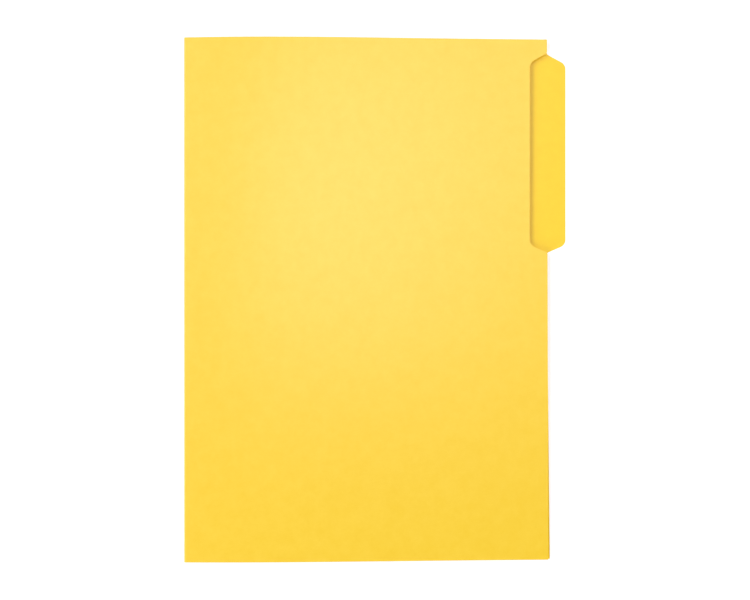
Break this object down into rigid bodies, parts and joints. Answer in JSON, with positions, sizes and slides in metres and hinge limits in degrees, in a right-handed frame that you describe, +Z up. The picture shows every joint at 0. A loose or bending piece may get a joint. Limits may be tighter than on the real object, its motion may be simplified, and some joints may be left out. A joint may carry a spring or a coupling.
{
  "type": "card file folder",
  "caption": "Legal-size yellow card file folder, closed: a sheet folded down its long side, with an index tab on the back leaf and a matching cut-out in the front leaf.",
  "frame": {"origin": "bottom centre of the box round the closed folder, on the surface that the back leaf lies on", "axes": "+X from the fold to the free edges and the tab, +Y along the fold towards the end that has the tab, +Z up from the back leaf to the front leaf"},
  "size_m": [0.252, 0.345, 0.002],
  "materials": {
    "dyed_card": "matte"
  },
  "bodies": {
    "back": {"back_leaf": "dyed_card", "index_tab": "dyed_card"},
    "crease_1": {"crease_strip_1": "dyed_card"},
    "crease_2": {"crease_strip_2": "dyed_card"},
    "crease_3": {"crease_strip_3": "dyed_card"},
    "front": {"front_leaf": "dyed_card"}
  },
  "joints": [
    {"name": "cover_fold", "type": "hinge", "parent": "back", "child": "front", "pos_m": [-0.12622, 0, 0.001], "axis": [0, -1, 0], "range_deg": [0, 180]},
    {"name": "crease_bend_1", "type": "hinge", "parent": "back", "child": "crease_1", "pos_m": [-0.12532, 0, 0.00022], "axis": [0, -1, 0], "range_deg": [0, 45]},
    {"name": "crease_bend_2", "type": "hinge", "parent": "back", "child": "crease_2", "pos_m": [-0.12561, 0, 0.00039], "axis": [0, -1, 0], "range_deg": [0, 90]},
    {"name": "crease_bend_3", "type": "hinge", "parent": "back", "child": "crease_3", "pos_m": [-0.1259, 0, 0.00063], "axis": [0, -1, 0], "range_deg": [0, 135]}
  ],
  "couplings": [
    {"joint": "crease_bend_1", "follows": "cover_fold", "ratio": 0.25},
    {"joint": "crease_bend_2", "follows": "cover_fold", "ratio": 0.5},
    {"joint": "crease_bend_3", "follows": "cover_fold", "ratio": 0.75}
  ]
}
